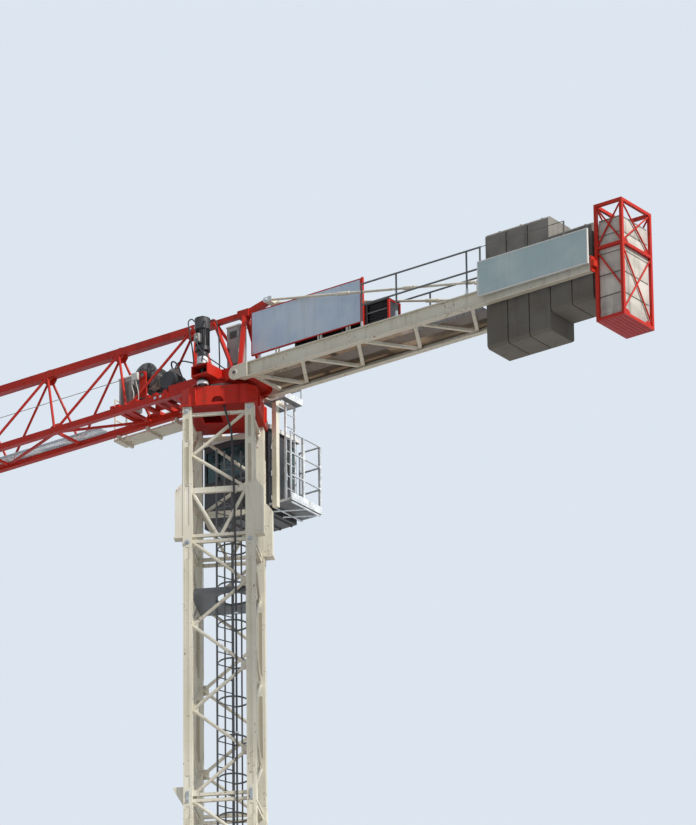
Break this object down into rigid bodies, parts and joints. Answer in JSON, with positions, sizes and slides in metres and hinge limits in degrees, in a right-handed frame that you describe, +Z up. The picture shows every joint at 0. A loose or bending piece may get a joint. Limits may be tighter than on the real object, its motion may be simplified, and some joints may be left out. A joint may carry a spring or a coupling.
{
  "type": "flat-top tower crane",
  "caption": "Flat-top tower crane: lattice mast on a bolted base frame, slewing triangular jib with hoist winch, ballasted counterjib and side cab.",
  "frame": {"origin": "on the mast's axis, on the underside of the base frame", "axes": "+Z up the mast, +X along the jib at rest, the cab on the -Y side"},
  "size_m": [24.405, 3.7257, 24.58],
  "materials": {
    "cream_paint": "weathered gloss",
    "red_paint": "weathered gloss",
    "galvanised_steel": "galvanised, dull",
    "dark_steel": "greased",
    "black_paint": "semi-gloss",
    "grey_paint": "satin",
    "panel_paint": "satin",
    "black_rubber": "matt",
    "concrete": "cast, weathered",
    "tinted_glass": "tinted"
  },
  "bodies": {
    "mast": {"base_frame": "cream_paint", "section_1_frames": "cream_paint", "section_1_sides": "cream_paint", "section_2_frames": "cream_paint", "section_2_sides": "cream_paint", "section_3_frames": "cream_paint", "section_3_sides": "cream_paint", "support_frames": "cream_paint", "support_sides": "cream_paint", "climbing_consoles": "cream_paint", "joint_pins": "galvanised_steel", "mast_ladder": "galvanised_steel", "landings": "galvanised_steel", "power_cable": "black_rubber", "ring_support": "red_paint", "slewing_ring": "dark_steel"},
    "upper": {"turntable": "red_paint", "slew_motor": "black_paint", "tower_head": "red_paint", "jib_top_chord": "red_paint", "jib_near_side": "red_paint", "jib_far_side": "red_paint", "jib_bottom_bracing": "red_paint", "winch_catwalk": "cream_paint", "winch_frame": "red_paint", "winch_motor": "black_paint", "cabinets": "grey_paint", "hoist_ropes": "dark_steel", "trolley": "red_paint", "hook_block": "red_paint", "counterjib_frame": "cream_paint", "counterjib_pins": "galvanised_steel", "counterjib_deck": "galvanised_steel", "handrails": "galvanised_steel", "resistor_bank": "black_paint", "name_panels": "panel_paint", "tie_bars": "cream_paint", "counterjib_ballast": "concrete", "end_cage": "red_paint", "cab_shell": "black_paint", "cab_glass": "tinted_glass", "cab_door": "black_paint", "cab_hanger": "red_paint", "cab_platform": "galvanised_steel"},
    "drum": {"hoist_drum": "dark_steel"}
  },
  "joints": [
    {"name": "slew", "type": "hinge", "parent": "mast", "child": "upper", "pos_m": [0, 0, 22.535], "axis": [0, 0, 1], "continuous": true},
    {"name": "drum_spin", "type": "hinge", "parent": "upper", "child": "drum", "pos_m": [2.04, 0, 23.49], "axis": [0, 1, 0], "continuous": true}
  ]
}
